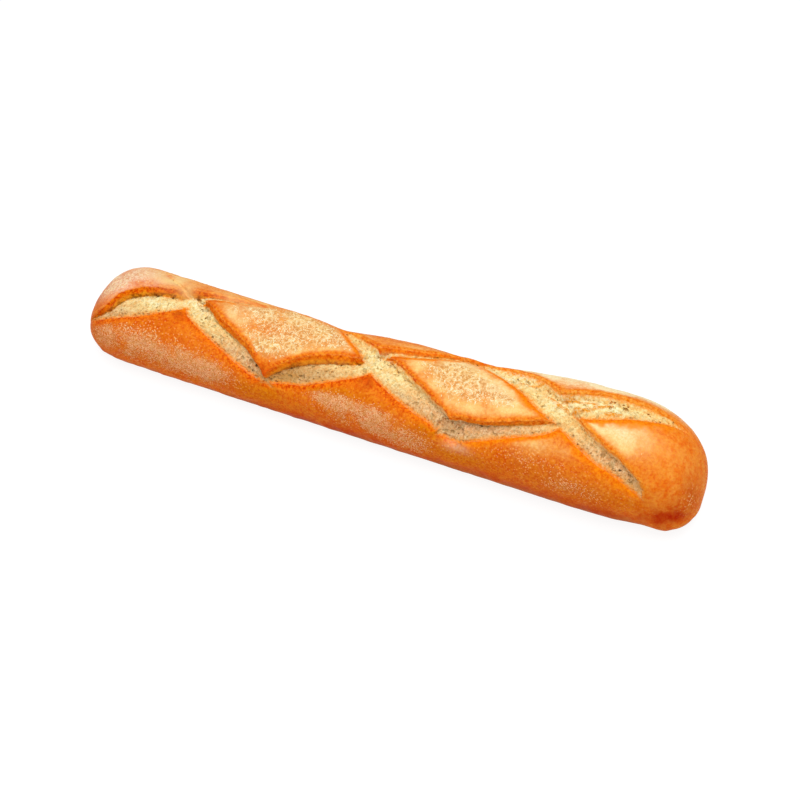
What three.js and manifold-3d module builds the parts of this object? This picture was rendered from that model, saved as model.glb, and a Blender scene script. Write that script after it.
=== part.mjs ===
// A short baguette, baked on a flat tray and scored with a criss-cross of deep cuts.
//
// The loaf lies along X with its slimmer end at -X, its crown up (+Z) and its flat base on Z = 0.
// Places on its skin are given as (x, turn): x in millimetres along the loaf, and turn in degrees
// round it from the crown, negative towards -Y.  Seven cuts cross each other and leave two diamonds
// on the crown, with pads of crust along both sides.  Each cut opened towards +Y: its -Y edge
// lies almost flush with the crumb, and its +Y edge stands up as an ear with a steep wall below.

import * as THREE from 'three';
import { mergeVertices } from 'three/addons/utils/BufferGeometryUtils.js';
import Module from 'manifold-3d';

// Driving dimensions, in millimetres unless a name says otherwise.
const LENGTH = 450;
const WIDTH = 72;
const HEIGHT = 59.5;
const WIDTH_TAPER = 0.08;
const HEIGHT_TAPER = 0.17;
const WIDTH_WAIST = 0.06;
const HEIGHT_WAIST = 0.13;
const SIDE_BOW = 1.9;

// Rounding of the two ends: how far each cap reaches, and the power of its curve.
const LEFT_CAP = 42;
const LEFT_POWER = 2.2;
const RIGHT_CAP = 80;
const RIGHT_POWER = 2.6;
const TIP_HEIGHT = 0.12;
const CROWN_FALL = 1.2;

// The section: its widest level and its flat base as shares, and the roundness of its crown.
const WIDEST_LEVEL = 0.46;
const BASE_SHARE = 0.58;
const CROWN_POWER = 0.92;
const SHOULDER_TURN = 60;

// Skin that is stretched round the loaf by one degree of turn: at full girth, and the least share
// of it that is counted where the ends close.
const SKIN_PER_DEGREE = 0.59;
const LEAST_SHARE = 0.3;

// Turns from the crown over which the relief fades out towards the base.
const RELIEF_FADE = [75, 135];
const SWELL_FADE = [120, 150];

// Relief of the crust: pillowed pads, ears along the +Y edges and soft falls along the -Y edges.
const PILLOW = 2.0;
const PILLOW_REACH = 11;
const EAR = 2.2;
const EAR_REACH = 8;
const FALL = 1.6;
const FALL_REACH = 7;
const FULL_EAR_HALF_WIDTH = 4.5;

// The crumb in the cuts, with its torn unevenness.
const CUT_DEPTH = 6.2;
const FULL_DEPTH_HALF_WIDTH = 6;
const LEAST_DEPTH_SHARE = 0.15;
const WALL_NOTCH = 0.3;
const FLUSH_STEP = 1.3;
const UNDERCUT = 1.2;
const CRUMB_ROUGHNESS = 0.55;
const CUT_CLEARANCE = 9;

// Mesh fineness.
const BODY_STEPS = 62;
const CAP_STEPS = 8;
const TURN_STEPS = 32;
const CROWN_FINENESS = 1.3;
const CUT_STEP_LENGTH = 6;
const FLOOR_STEPS = 4;
const TRACE_STEPS = 60;
const NORMAL_REACH = 0.5;
const MERGE_GAP = 1e-5;
const SEED = 20261;

// Uneven swelling of the dough: where (x, turn), how far it reaches each way, and its rise.
const SWELLS = [
  [-185, 66, 26, 28, 0.8],
  [-35, 60, 30, 30, -3.0],
  [66, 62, 22, 24, -1.6],
  [136, 60, 36, 30, 1.6],
  [210, -108, 12, 18, 6.5],
];

// The cuts: each is a few places (x, turn, half width) that its middle line passes through.
const CUTS = [
  // From the left tip over the crown and along the far side of the first diamond.
  [[-217, -57, 0.5], [-201, -42, 4.6], [-186, -22, 10.0], [-164, -4, 9.1], [-146, 9, 5.2],
    [-129, 24, 2.8], [-112, 31, 2.2], [-97, 36, 0.5]],
  // From the far shoulder across the crown, down the left side of the first diamond.
  [[-172, 40, 0.5], [-162, 28, 1.2], [-153, 19, 1.8], [-146, 12, 4.2], [-137, 0, 7.6], [-117, -19, 7.8],
    [-96, -37, 8.2], [-77, -58, 5.0], [-66, -71, 0.5]],
  // From the near shoulder along the lower side of the first diamond and over the crown.
  [[-75, -69, 0.5], [-65, -55, 5.7], [-48, -39, 10.0], [-30, -25, 9.3], [-10, -12, 6.0],
    [2, 10, 3.5], [27, 24, 2.7], [49, 41, 2.6], [77, 57, 2.6], [100, 70, 0.5]],
  // Between the two diamonds.
  [[-37, 38, 0.5], [-29, 29, 3.2], [-17, 14, 4.4], [6, -9, 8.3], [29, -29, 8.9],
    [49, -45, 7.3], [63, -60, 6.3], [69, -71, 0.5]],
  // Along the lower side of the second diamond.
  [[52, -67, 0.5], [59, -58, 8.8], [81, -48, 6.5], [103, -35, 4.8], [121, -24, 3.7], [131, -14, 0.5]],
  // Torn wide along the right end.
  [[119, 7, 0.5], [131, 5, 7.5], [151, 12, 8.7], [175, 19, 5.7], [191, 24, 2.9], [203, 27, 0.5]],
  // Down the right side of the second diamond to the near shoulder of the right end.
  [[46, 50, 0.5], [70, 37, 3.1], [94, 22, 7.0], [116, 3, 8.6], [134, -16, 6.0],
    [151, -34, 5.9], [171, -49, 5.4], [185, -63, 3.9], [190, -75, 0.5]],
];

const { clamp, lerp } = THREE.MathUtils;
const DEGREE = Math.PI / 180;
const HALF = LENGTH / 2;

function random(seed) {
  let state = seed;
  return () => {
    state = (state * 1664525 + 1013904223) % 4294967296;
    return state / 4294967296;
  };
}

// Share of the full section at a distance from a tip.
function capShare(distance, reach, power) {
  const inward = clamp((reach - distance) / reach, 0, 1);
  return Math.pow(1 - Math.pow(inward, power), 1 / power);
}

function sectionShare(x) {
  const left = capShare(HALF + x, LEFT_CAP, LEFT_POWER);
  const right = capShare(HALF - x, RIGHT_CAP, RIGHT_POWER);
  return Math.min(left, right);
}

// A section of half width 1 and height 1, at a turn from the crown.
function unitSection(turn) {
  const side = Math.sign(turn);
  const angle = Math.abs(turn);
  if (angle <= 90) {
    const across = Math.pow(Math.sin(angle * DEGREE), CROWN_POWER);
    const up = Math.pow(Math.max(Math.cos(angle * DEGREE), 0), CROWN_POWER);
    return [side * across, WIDEST_LEVEL + (1 - WIDEST_LEVEL) * up];
  }
  if (angle <= 90 + SHOULDER_TURN) {
    const round = ((angle - 90) / SHOULDER_TURN) * 90 * DEGREE;
    const across = BASE_SHARE + (1 - BASE_SHARE) * Math.cos(round);
    return [side * across, WIDEST_LEVEL * (1 - Math.sin(round))];
  }
  return [side * BASE_SHARE * (180 - angle) / (90 - SHOULDER_TURN), 0];
}

// The smooth loaf before its crust swelled, a little slimmer in its middle.
function smoothPlace(x, turn) {
  const along = x / HALF;
  const beyondMiddle = along * along - 1 / 3;
  const share = sectionShare(x);
  const halfWidth = WIDTH / 2 * share * (1 + WIDTH_TAPER * along + WIDTH_WAIST * beyondMiddle);
  const fullHeight = HEIGHT * (1 + HEIGHT_TAPER * along + HEIGHT_WAIST * beyondMiddle);
  const height = fullHeight * Math.pow(share, CROWN_FALL);
  const [across, up] = unitSection(turn);
  const bow = SIDE_BOW * (along * along - 0.5);
  return new THREE.Vector3(x, bow + halfWidth * across, height * up + (fullHeight - height) * TIP_HEIGHT);
}

// Outward direction of the smooth loaf, from places a little to each side.
function skinNormal(x, turn) {
  const low = Math.max(x - NORMAL_REACH, -HALF);
  const high = Math.min(x + NORMAL_REACH, HALF);
  const lengthways = smoothPlace(high, turn).sub(smoothPlace(low, turn));
  const crossways = smoothPlace(x, turn + NORMAL_REACH).sub(smoothPlace(x, turn - NORMAL_REACH));
  const normal = new THREE.Vector3().crossVectors(lengthways, crossways).normalize();
  return normal.lengthSq() > 0 ? normal : new THREE.Vector3(Math.sign(x), 0, 0);
}

// Skin round the loaf for each degree of turn at x, smaller where the ends close.
function skinPerDegree(x) {
  return SKIN_PER_DEGREE * Math.max(sectionShare(x), LEAST_SHARE);
}

// From 1 near the crown to 0 near the base, between two turns.
function crownFade(turn, [from, to]) {
  return clamp((to - Math.abs(turn)) / (to - from), 0, 1);
}

// The cuts as curves through (x, turn, half width), with their places measured on the skin.
const cutCurves = CUTS.map((places) => new THREE.CatmullRomCurve3(
  places.map((place) => new THREE.Vector3(...place)), false, 'centripetal'));
const cutTraces = cutCurves.map((curve) => curve.getSpacedPoints(TRACE_STEPS).map((place) => ({
  place,
  skin: new THREE.Vector2(place.x, place.y * skinPerDegree(place.x)),
})));

// Nearest place of a cut: its half width there, how far out from its edge, and how far across it,
// from -1 to +1.
function besideCut(trace, x, across) {
  let nearest = Infinity;
  let half = 0;
  let sideways = 0;
  for (let i = 0; i < trace.length - 1; i += 1) {
    const start = trace[i];
    const step = new THREE.Vector2().subVectors(trace[i + 1].skin, start.skin);
    const offset = new THREE.Vector2(x, across).sub(start.skin);
    const share = clamp(offset.dot(step) / step.lengthSq(), 0, 1);
    const gap = offset.distanceTo(step.clone().multiplyScalar(share));
    if (gap < nearest) {
      nearest = gap;
      half = lerp(start.place.z, trace[i + 1].place.z, share);
      sideways = step.normalize().cross(offset);
    }
  }
  return { half, outside: Math.max(nearest - half, 0), crossing: clamp(sideways / half, -1, 1) };
}

// Uneven swelling, fading out before the flat base.
function swelling(x, turn) {
  const fade = crownFade(turn, SWELL_FADE);
  return SWELLS.reduce((sum, [atX, atTurn, reachX, reachTurn, rise]) => {
    const gapX = (x - atX) / reachX;
    const gapTurn = (turn - atTurn) / reachTurn;
    return sum + rise * fade * Math.exp(-gapX * gapX - gapTurn * gapTurn);
  }, 0);
}

// How far the crust stands off the smooth loaf.
function crustRelief(x, turn) {
  const across = turn * skinPerDegree(x);
  let closest = Infinity;
  let lift = 0;
  for (const trace of cutTraces) {
    const { half, outside, crossing } = besideCut(trace, x, across);
    const ear = EAR * Math.exp(-outside / EAR_REACH);
    const fall = -FALL * Math.exp(-outside / FALL_REACH);
    closest = Math.min(closest, outside);
    lift += lerp(fall, ear, (crossing + 1) / 2) * Math.min(half / FULL_EAR_HALF_WIDTH, 1);
  }
  const pillow = PILLOW * (1 - Math.exp(-closest / PILLOW_REACH));
  return ((lift + pillow) * crownFade(turn, RELIEF_FADE) + swelling(x, turn)) * sectionShare(x);
}

function crustPlace(x, turn) {
  return smoothPlace(x, turn).addScaledVector(skinNormal(x, turn), crustRelief(x, turn));
}

// Stations along the loaf: even in the body, and closing up towards each tip.
function stations() {
  const places = [];
  for (let i = 1; i <= CAP_STEPS; i += 1) {
    const angle = i / (CAP_STEPS + 1) * 90 * DEGREE;
    const inward = 1 - Math.pow(Math.cos(angle), 2 / LEFT_POWER);
    places.push(-HALF + LEFT_CAP * inward);
  }
  for (let i = 0; i <= BODY_STEPS; i += 1) {
    places.push(lerp(-HALF + LEFT_CAP, HALF - RIGHT_CAP, i / BODY_STEPS));
  }
  for (let i = CAP_STEPS; i >= 1; i -= 1) {
    const angle = i / (CAP_STEPS + 1) * 90 * DEGREE;
    const inward = 1 - Math.pow(Math.cos(angle), 2 / RIGHT_POWER);
    places.push(HALF - RIGHT_CAP * inward);
  }
  return places;
}

// Closed surface through rings of points, with a fan to one point at each end.
function closedLoft(rings, first, last) {
  const positions = [first, ...rings.flat(), last].flatMap((point) => [point.x, point.y, point.z]);
  const count = rings[0].length;
  const end = rings.length * count + 1;
  const index = [];
  for (let j = 0; j < count; j += 1) {
    const next = (j + 1) % count;
    index.push(0, 1 + next, 1 + j);
    index.push(end, end - count + j, end - count + next);
    for (let i = 0; i < rings.length - 1; i += 1) {
      const low = 1 + i * count;
      const high = low + count;
      index.push(low + j, low + next, high + j);
      index.push(low + next, high + next, high + j);
    }
  }
  const geometry = new THREE.BufferGeometry();
  geometry.setAttribute('position', new THREE.Float32BufferAttribute(positions, 3));
  geometry.setIndex(index);
  return geometry;
}

function uncutLoaf() {
  const turns = [];
  for (let j = 0; j < TURN_STEPS; j += 1) {
    const share = 1 - 2 * (j + 0.5) / TURN_STEPS;
    turns.push(180 * Math.sign(share) * Math.pow(Math.abs(share), CROWN_FINENESS));
  }
  const rings = stations().map((x) => turns.map((turn) => crustPlace(x, turn)));
  return closedLoft(rings, smoothPlace(-HALF, 0), smoothPlace(HALF, 0));
}

// The space of one cut: a lofted trough whose floor is the crumb, deepest under the ear.
function cutSpace(curve, uneven) {
  const steps = Math.round(curve.getLength() / CUT_STEP_LENGTH);
  const rings = [];
  for (let i = 0; i <= steps; i += 1) {
    const place = curve.getPointAt(i / steps);
    const tangent = curve.getTangentAt(i / steps);
    const perDegree = skinPerDegree(place.x);
    const heading = Math.atan2(tangent.y * perDegree, tangent.x);
    const half = place.z;
    const size = clamp(half / FULL_DEPTH_HALF_WIDTH, LEAST_DEPTH_SHARE, 1);
    const beside = (offset, rise) => {
      const x = clamp(place.x - offset * Math.sin(heading), 1 - HALF, HALF - 1);
      const turn = place.y + offset * Math.cos(heading) / perDegree;
      return smoothPlace(x, turn).addScaledVector(skinNormal(x, turn), rise);
    };
    const edgeTurn = place.y - half * Math.cos(heading) / perDegree;
    const rim = crustRelief(place.x + half * Math.sin(heading), edgeTurn) - FLUSH_STEP * size;
    const foot = -CUT_DEPTH * size;
    const profile = [beside(-half, CUT_CLEARANCE), beside(-half, rim)];
    for (let k = 1; k < FLOOR_STEPS; k += 1) {
      const share = k / FLOOR_STEPS;
      const wander = CRUMB_ROUGHNESS * size;
      const level = lerp(rim, foot, share) + wander * 2 * (uneven() - 0.5);
      profile.push(beside(half * (2 * share - 1) + wander * (uneven() - 0.5), level));
    }
    profile.push(beside(half + UNDERCUT * size, foot));
    profile.push(beside(half, foot * WALL_NOTCH));
    profile.push(beside(half, CUT_CLEARANCE));
    rings.push(profile);
  }
  const centre = (ring) => ring.reduce((sum, point) => sum.add(point), new THREE.Vector3())
    .divideScalar(ring.length);
  return closedLoft(rings, centre(rings[0]), centre(rings[rings.length - 1]));
}

const wasm = await Module();
wasm.setup();

function toSolid(geometry) {
  const merged = mergeVertices(geometry, MERGE_GAP);
  return new wasm.Manifold(new wasm.Mesh({
    numProp: 3,
    vertProperties: new Float32Array(merged.attributes.position.array),
    triVerts: new Uint32Array(merged.index.array),
  }));
}

function toGeometry(solid) {
  const mesh = solid.getMesh();
  const geometry = new THREE.BufferGeometry();
  geometry.setAttribute('position', new THREE.BufferAttribute(mesh.vertProperties, 3));
  geometry.setIndex(new THREE.BufferAttribute(mesh.triVerts, 1));
  return geometry;
}

function scoredLoaf() {
  const uneven = random(SEED);
  let solid = toSolid(uncutLoaf());
  for (const curve of cutCurves) {
    solid = solid.subtract(toSolid(cutSpace(curve, uneven)));
  }
  const geometry = toGeometry(solid);
  geometry.computeVertexNormals();
  return geometry;
}

const crust = new THREE.MeshStandardMaterial({ color: 0xd98a3a, roughness: 0.62, metalness: 0 });
const loaf = new THREE.Mesh(scoredLoaf(), crust);
loaf.name = 'loaf';

// The loaf's own frame has its origin under the middle of its base.
loaf.geometry.computeBoundingBox();
const middle = loaf.geometry.boundingBox.getCenter(new THREE.Vector3());
loaf.position.set(-middle.x, -middle.y, -loaf.geometry.boundingBox.min.z);

const group = new THREE.Group();
group.add(loaf);

export default group;
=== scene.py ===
"""The looks of a short, fat baguette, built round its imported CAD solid.

The loaf is worked out once more from the sizes of the CAD solid, as one fine closed surface: crust with
raised ears, and open cuts with torn, porous crumb.  The surface is found in the skin of the loaf, as a
field over x (millimetres along the loaf), turn (degrees round it from the crown, negative towards -Y)
and rise (millimetres off the swollen skin).  Masks kept on its points are shares from 0 to 1 that tell
the material where each colour of the crust, the crumb and the walls of the cuts lies.  A second piece
holds the flakes of flour on the crust.
"""
import itertools
import math
import bpy
import numpy as np
from mathutils import Matrix, Vector


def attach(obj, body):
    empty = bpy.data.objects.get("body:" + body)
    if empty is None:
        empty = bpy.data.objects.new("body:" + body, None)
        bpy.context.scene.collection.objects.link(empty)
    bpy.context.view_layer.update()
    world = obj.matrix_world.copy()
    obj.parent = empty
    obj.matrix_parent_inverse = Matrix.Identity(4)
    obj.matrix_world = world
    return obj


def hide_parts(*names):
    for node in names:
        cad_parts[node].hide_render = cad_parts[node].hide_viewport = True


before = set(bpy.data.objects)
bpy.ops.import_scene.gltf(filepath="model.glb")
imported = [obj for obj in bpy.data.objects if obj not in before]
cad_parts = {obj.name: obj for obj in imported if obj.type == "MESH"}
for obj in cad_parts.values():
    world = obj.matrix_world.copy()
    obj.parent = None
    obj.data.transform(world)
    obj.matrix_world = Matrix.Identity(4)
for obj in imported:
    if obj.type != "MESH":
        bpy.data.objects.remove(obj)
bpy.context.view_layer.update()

MM = 0.001

# -------- sizes as in the CAD source, in mm
LENGTH = 450
HALF = LENGTH / 2
WIDTH = 72
HEIGHT = 59.5
WIDTH_TAPER = 0.08
HEIGHT_TAPER = 0.17
WIDTH_WAIST = 0.06
HEIGHT_WAIST = 0.13
SIDE_BOW = 1.9
LEFT_CAP, LEFT_POWER = 42, 2.2
RIGHT_CAP, RIGHT_POWER = 80, 2.6
TIP_HEIGHT = 0.12
CROWN_FALL = 1.2
WIDEST_LEVEL = 0.46
BASE_SHARE = 0.58
CROWN_POWER = 0.92
SHOULDER_TURN = 60
SKIN_PER_DEGREE = 0.59
LEAST_SHARE = 0.3
RELIEF_FADE = (75, 135)
SWELL_FADE = (120, 150)
PILLOW, PILLOW_REACH = 2.0, 11
EAR, EAR_REACH = 2.2, 8
FALL, FALL_REACH = 1.6, 7
FULL_EAR_HALF_WIDTH = 4.5
CUT_DEPTH = 6.2
FULL_DEPTH_HALF_WIDTH = 6
LEAST_DEPTH_SHARE = 0.15
FLUSH_STEP = 1.3
NORMAL_REACH = 0.5

# Unevenness as sums of noise: amount (in mm, or a share for clouds, rims and ridges), size of a bump in
# mm, seed, and number of layers, each finer and weaker than the one before.
EDGE_WANDER = ((0.55, 9, 11, 3), (0.25, 2.2, 14, 1))
CRUST_UNEVEN = ((0.35, 26, 21, 3), (0.12, 5, 24, 3))
LOW_EDGE_UNEVEN = ((1.8, 6, 27, 1),)
LOW_EDGE_TURN, LOW_EDGE_REACH = 110, 13
CLOUD_UNEVEN = ((0.45, 9, 61, 3),)
RIM_UNEVEN = ((0.5, 4, 81, 3),)
RIDGE_UNEVEN = ((0.4, 4, 91, 1),)

# The torn floor of a cut, its walls and its lips, in mm.
FLOOR_POWER = 1.3  # of its fall from the near lip to the far one
FLOOR_BULGE = 0.9
FLOOR_TORN, FOLDS_SHARE = 0.75, 0.35
FLOOR_LUMPS, FLOOR_FOLDS = (5.5, 31), (2.6, 35)  # size of a bump and seed
FLOOR_CLIMB = 2.2  # for each mm beyond the edge
FLOOR_BLEND = 3
FLOOR_FILLET = 3
LEAST_CUT = 0.9  # how far the floor stays below the crust
LIP_BLEND = 1.5
STEEP_LIP_LOSS = 0.45
WALL_SPAN = (0.4, 5.0)  # the depths between which the far wall runs out
LIP_ROUNDING, CRUMB_ROUNDING = 1.1, 1.4
TORN_BAND = 2.2  # how far from walls and floors they are roughened
TORN_MARGIN = 2  # and how far past the crust or the floor
RAGGED_EDGE = (2.0, 0.6, 41)  # size of a bump, amount and seed
TORN_CRUMB = (1.7, 0.4, 45)

# Swelling of the dough: x, turn, reach along, reach round, rise.
SWELLS = (
    (-185, 66, 26, 28, 0.8),
    (-35, 60, 30, 30, -3.0),
    (66, 62, 22, 24, -1.6),
    (136, 60, 36, 30, 1.6),
    (210, -108, 12, 18, 6.5),
)

# The cuts, in the order of the CAD source: (x, turn, half width) along each middle line.
CUTS = {
    "left": ((-217, -57, 0.5), (-201, -42, 4.6), (-186, -22, 10.0), (-164, -4, 9.1), (-146, 9, 5.2),
             (-129, 24, 2.8), (-112, 31, 2.2), (-97, 36, 0.5)),
    "first_down": ((-172, 40, 0.5), (-162, 28, 1.2), (-153, 19, 1.8), (-146, 12, 4.2), (-137, 0, 7.6),
                   (-117, -19, 7.8), (-96, -37, 8.2), (-77, -58, 5.0), (-66, -71, 0.5)),
    "first_up": ((-75, -69, 0.5), (-65, -55, 5.7), (-48, -39, 10.0), (-30, -25, 9.3), (-10, -12, 6.0),
                 (2, 10, 3.5), (27, 24, 2.7), (49, 41, 2.6), (77, 57, 2.6), (100, 70, 0.5)),
    "second_down": ((-37, 38, 0.5), (-29, 29, 3.2), (-17, 14, 4.4), (6, -9, 8.3), (29, -29, 8.9),
                    (49, -45, 7.3), (63, -60, 6.3), (69, -71, 0.5)),
    "second_up": ((52, -67, 0.5), (59, -58, 8.8), (81, -48, 6.5), (103, -35, 4.8), (121, -24, 3.7),
                  (131, -14, 0.5)),
    "right": ((119, 7, 0.5), (131, 5, 7.5), (151, 12, 8.7), (175, 19, 5.7), (191, 24, 2.9), (203, 27, 0.5)),
    "third_down": ((46, 50, 0.5), (70, 37, 3.1), (94, 22, 7.0), (116, 3, 8.6), (134, -16, 6.0),
                   (151, -34, 5.9), (171, -49, 5.4), (185, -63, 3.9), (190, -75, 0.5)),
}

# The lips of each cut: how toasted the wall under the far lip is, from 0 to 1, then in mm how wide the
# orange band on that lip is, how far the wall runs out under it, and how wide the band on the near lip is.
LIPS = {
    "left": (1.0, 1.8, 2.2, 4.2), "first_down": (0.45, 3.4, 3.4, 3.8), "first_up": (0.8, 2.8, 5.2, 4.2),
    "second_down": (0.12, 2.8, 2.0, 4.2), "second_up": (0.6, 2.8, 1.8, 4.4), "right": (0.14, 2.4, 1.8, 6.6),
    "third_down": (0.1, 2.0, 1.8, 4.6),
}

# Where the far walls stand steep and their orange band is narrow.
STEEP = ((-130, 12, 16, 14, 0.95), (-13, -7, 9, 9, 0.8), (10, 7, 8, 9, 0.8))

# Torn ridges standing in the crumb where the last cuts cross: x and turn of both ends, half width, height.
RIDGES = (
    (126, 11, 144, 16, 1.5, 1.6), (145, 9, 154, 17, 1.6, 1.8), (152, 4, 162, 9, 1.4, 1.5),
    (93, 21, 108, 26, 1.3, 1.2), (112, 11, 128, 1, 1.6, 1.4), (134, 1, 142, 4, 2.4, 1.6),
)

# Clouds of colour on the crust and in the crumb: x, turn, reach along, reach round, amount.
FLOUR = (
    (-176, -60, 30, 16, 0.5), (-150, -72, 34, 20, 0.6), (-118, -74, 20, 16, 0.85), (-190, -84, 24, 18, 0.4),
    (-203, 4, 15, 24, 0.4), (-190, 22, 18, 18, 0.25), (-178, 38, 16, 14, 0.2), (-97, 18, 20, 14, 0.8),
    (-70, 14, 30, 26, 1.0), (-42, 12, 20, 18, 1.0), (-80, -15, 14, 13, 1.0), (-12, -62, 26, 9, 1.0),
    (8, -76, 26, 14, 0.7), (32, -88, 18, 14, 0.6), (48, 8, 20, 14, 0.9), (62, -8, 18, 14, 1.0),
    (86, -8, 12, 8, 0.6), (116, -62, 26, 12, 0.22), (146, -82, 26, 12, 0.32), (188, -30, 9, 9, 0.22),
    (-150, 62, 30, 14, 0.4), (-20, 72, 40, 14, 0.4), (110, 82, 50, 14, 0.35), (-74, -25, 12, 9, 0.9),
    (-62, -18, 14, 10, 0.8),
)
# Golden crust on the tops of the pads: partly a lighter bake, partly painted highlight where the light falls.
GOLDEN_AND_HIGHLIGHT = (
    (-112, 24, 22, 16, 0.9), (-84, 20, 26, 16, 0.9), (-52, 18, 26, 16, 1.0), (-106, 0, 12, 14, 0.8),
    (-92, -22, 14, 10, 0.8), (-66, -18, 28, 12, 1.0), (-36, -8, 18, 12, 1.0), (-60, 34, 30, 10, 0.5),
    (-172, 42, 20, 16, 0.9), (30, 22, 24, 14, 0.9), (60, 10, 28, 20, 1.0), (46, -14, 18, 12, 0.8),
    (70, -26, 18, 8, 0.9), (96, 8, 18, 20, 1.0), (92, -16, 18, 8, 0.9), (60, 36, 24, 10, 0.5),
    (110, 56, 40, 16, 0.9), (150, 60, 50, 22, 1.0), (150, -6, 22, 16, 1.0), (168, -18, 16, 12, 0.8),
    (110, -44, 30, 9, 0.6), (204, -20, 22, 34, 0.25), (40, 64, 60, 14, 0.9), (-20, 62, 40, 14, 0.7),
    (26, 1, 12, 10, 1.0), (-25, 18, 14, 14, 0.9), (24, 14, 14, 10, 0.8), (-108, 46, 30, 10, 0.5),
    (162, -20, 16, 12, 0.9), (178, -13, 16, 12, 0.9),
)
# Pale crust on the far pads: partly a lighter bake, partly painted highlight and sheen.
PALE_AND_HIGHLIGHT = (
    (100, 50, 18, 14, 0.9), (126, 44, 24, 16, 1.0), (152, 48, 26, 14, 1.0), (180, 50, 20, 12, 0.8),
    (118, 41, 20, 10, 0.95), (140, 38, 18, 8, 0.95), (152, -3, 18, 12, 0.6), (168, -12, 12, 10, 0.35),
    (-104, 8, 10, 12, 0.4), (-182, 24, 26, 8, 0.3), (82, 0, 16, 12, 0.4), (-25, 18, 9, 12, 0.9),
    (-104, 26, 12, 8, 0.5), (60, 26, 20, 10, 0.4),
)
SOFT = ((-164, 28, 13, 12, 0.95), (-153, 18, 7, 7, 0.5), (-112, 31, 20, 8, 0.55))
# Painted shade: darker, browner crumb near the feet of the far walls and at the low ends of the cuts.
PAINTED_SHADE = (
    (-66, -54, 11, 9, 0.9), (56, -58, 7, 7, 0.2), (182, -60, 8, 8, 0.4), (-44, -38, 26, 12, 0.55),
    (-60, -40, 14, 9, 0.7), (-62, -50, 12, 9, 0.9),
)
# Creamier crumb where the cuts cross and near the top: partly its own colour, partly painted light.
CREAM_AND_LIGHT = (
    (-138, 14, 14, 14, 0.9), (-126, -2, 12, 12, 0.6), (-178, -6, 30, 8, 0.7), (-2, 4, 16, 14, 0.8),
    (14, -14, 16, 8, 0.4), (84, 32, 26, 14, 0.8), (120, 6, 12, 12, 0.7), (152, 16, 26, 9, 0.9),
    (140, 9, 9, 7, 0.9),
)
DUST = ((-203, 8, 18, 24, 1.0), (-188, 26, 24, 22, 0.65), (67, -76, 9, 6, 0.3))
SPECKLE = (
    (-184, -66, 36, 26, 1.0), (-150, -74, 36, 26, 1.0), (-112, -78, 26, 20, 1.0), (-8, -64, 32, 16, 0.9),
    (20, -80, 36, 18, 1.0), (110, -66, 40, 18, 0.55), (150, -82, 34, 16, 0.55), (220, -55, 7, 30, 0.8),
    (-163, -42, 26, 12, 0.8), (-186, -50, 16, 12, 0.8),
)
AMBER = (
    (-76, -84, 18, 14, 1.0), (66, -86, 20, 14, 1.0), (192, -84, 20, 10, 1.0), (-32, -50, 40, 9, 1.0),
    (44, -66, 16, 9, 0.8),
)
# Corners of the crust where two cuts meet, toasted darkest.
TIPS = (
    (-13, -7, 6, 7, 0.9), (-3, -26, 7, 8, 0.8), (-74, -50, 7, 8, 0.9), (10, 7, 6, 6, 0.6),
    (-143, -14, 8, 9, 0.8), (122, -21, 6, 7, 0.3), (-129, 14, 5, 5, 0.8), (-215, -14, 8, 22, 0.4),
)
DEEP = (
    (205, -92, 6, 9, 1.0), (211, -86, 6, 8, 0.45), (205, -82, 16, 20, 0.42), (195, -98, 8, 8, 0.5),
    (160, -106, 40, 10, 0.46), (100, -106, 40, 10, 0.35), (0, -106, 60, 12, 0.5), (-60, -112, 40, 14, 0.32),
    (216, -40, 9, 26, 0.24),
)

# Pores at random places of the crumb: least radius, largest radius and how many.
PORES = ((0.35, 0.8, 2000), (0.8, 1.3, 80))
PORE_SEED = 51
PORE_STRETCH = (0.8, 1.5)
PORE_FLATNESS = (1, 1, 0.65)
PORE_SINK = (-0.2, 0.9)  # how far its centre lies below the floor, in radii
# Wide pores that show from a step away: x, turn, radius.
WIDE_PORES = (
    (-142, 18, 1.5), (-138, 10, 1.9), (-133, 4, 1.5), (-128, -5, 1.7), (-121, -13, 1.3),
    (-86, -44, 1.5), (-81, -50, 1.8), (-76, -56, 1.4), (-92, -38, 1.2), (166, -44, 1.6), (172, -50, 1.5),
    (159, -39, 1.2), (179, -58, 1.4), (34, -36, 1.3), (46, -46, 1.4), (-4, -1, 1.3), (8, -12, 1.2),
)

# Flakes of flour, in mm: least and largest of each measure.
FLAKE_SIDES, FLAKE_SEED = 6, 61
FLAKE_LENGTH, FLAKE_WIDTH = (0.6, 1.3), (0.5, 0.85)
FLAKE_RISE = (0.2, 0.34)  # of its middle over its rim
FLAKE_SINK = 0.06  # of its rim into the crust
FLAKE_TURN_SPREAD = 0.35  # from the line that it lies along, in radians
WINDING = (2.4, 71)  # size of a bump and seed of the noise whose zero the flour follows
LEAST_FLOUR_SHARE = 0.55  # no flour nearer to the tips than this share of the full section

# -------- fineness
CELL = 0.6  # size of a cell of the surface along the skin
LEVEL_STEP = 0.5  # and off it
LOWEST, HIGHEST = -9.25, 5.8  # rise of the first level, and above the last
FINE_TURN = 105  # cells are square from the crown to this turn
SQUARE_PER_DEGREE = 0.66  # mm of skin that a degree is taken for there
UNDER_STEPS = 40  # cells that cover the base
GIRTH_STEPS = 20000  # to measure the skin from tip to tip
TRACE_STEPS = 90  # steps along the middle line of a cut
SPLINE_STEPS = 40  # and along each of its spans before they are evened out
FLAKES = 13000  # of flour
BESIDE_REACH = 40  # farther from a cut its relief has died away


# -------- the smooth loaf
def smoothstep(low, high, value):
    share = np.clip((value - low) / (high - low), 0, 1)
    return share * share * (3 - 2 * share)


def soft_max(first, second, reach):
    return np.maximum(first, second) + np.maximum(reach - np.abs(first - second), 0) ** 2 / (4 * reach)


def soft_min(first, second, reach):
    return -soft_max(-first, -second, reach)


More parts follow.
